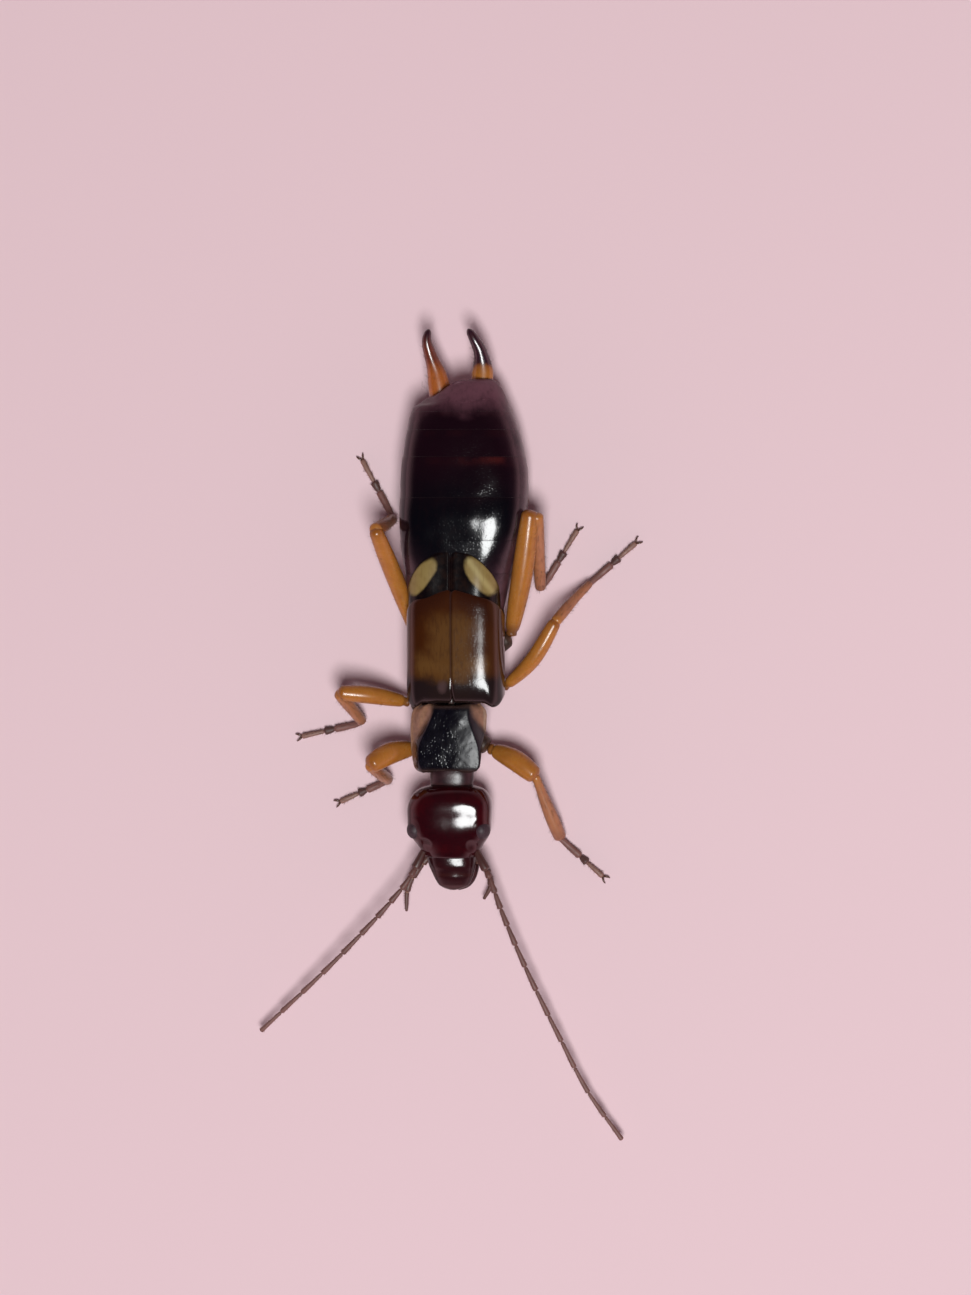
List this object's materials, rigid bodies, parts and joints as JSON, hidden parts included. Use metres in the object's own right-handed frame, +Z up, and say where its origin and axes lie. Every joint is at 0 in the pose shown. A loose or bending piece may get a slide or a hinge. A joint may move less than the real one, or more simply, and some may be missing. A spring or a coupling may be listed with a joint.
{
  "type": "earwig",
  "caption": "Life-size still earwig with spread legs and antennae, short wing cases, folded hind wings showing at the tips, and curved forceps at the tail.",
  "frame": {"origin": "on the floor under the middle of the footprint, antennae and feet included", "axes": "+Z up from the floor the feet rest on, +Y towards the forceps, -Y towards the head, +X towards the insect's left"},
  "size_m": [0.0112, 0.0232, 0.0024],
  "materials": {
    "head_shell": "dark red-brown, glossy cuticle",
    "eye": "near-black, finely faceted",
    "mouthparts": "red-brown, satin cuticle",
    "antenna": "dull brown, finely downy",
    "pronotum": "black disc with translucent tan margins, glossy",
    "underbody": "dark brown, satin cuticle",
    "wing_case": "olive-brown with paler ochre patches, satin",
    "hindwing_tip": "pale yellow spots on dark brown, satin",
    "abdomen_shell": "black to dark maroon, glossy cuticle",
    "forceps": "orange at the base to dark brown tips, glossy",
    "leg": "amber, slightly translucent, glossy",
    "tarsus": "brown, paler last joint, dull"
  },
  "bodies": {
    "root": {"abdomen_1": "abdomen_shell", "abdomen_2": "abdomen_shell", "abdomen_3": "abdomen_shell", "abdomen_4": "abdomen_shell", "abdomen_5": "abdomen_shell", "abdomen_6": "abdomen_shell", "abdomen_7": "abdomen_shell", "antenna_left_base": "antenna", "antenna_left_middle": "antenna", "antenna_left_scape": "antenna", "antenna_left_tip": "antenna", "antenna_right_base": "antenna", "antenna_right_middle": "antenna", "antenna_right_scape": "antenna", "antenna_right_tip": "antenna", "coxa_front_left": "leg", "coxa_front_right": "leg", "coxa_hind_left": "leg", "coxa_hind_right": "leg", "coxa_middle_left": "leg", "coxa_middle_right": "leg", "eye_left": "eye", "eye_right": "eye", "femur_front_left": "leg", "femur_front_right": "leg", "femur_hind_left": "leg", "femur_hind_right": "leg", "femur_middle_left": "leg", "femur_middle_right": "leg", "forceps_left": "forceps", "forceps_right": "forceps", "head": "head_shell", "hindwing_tip_left": "hindwing_tip", "hindwing_tip_right": "hindwing_tip", "labrum": "mouthparts", "mandible_left": "mouthparts", "mandible_right": "mouthparts", "maxillary_palp_left": "mouthparts", "maxillary_palp_right": "mouthparts", "neck": "underbody", "pronotum": "pronotum", "prothorax": "underbody", "tarsus_front_left": "tarsus", "tarsus_front_right": "tarsus", "tarsus_hind_left": "tarsus", "tarsus_hind_right": "tarsus", "tarsus_middle_left": "tarsus", "tarsus_middle_right": "tarsus", "tegmen_left": "wing_case", "tegmen_right": "wing_case", "thorax": "underbody", "tibia_front_left": "leg", "tibia_front_right": "leg", "tibia_hind_left": "leg", "tibia_hind_right": "leg", "tibia_middle_left": "leg", "tibia_middle_right": "leg"}
  },
  "joints": []
}
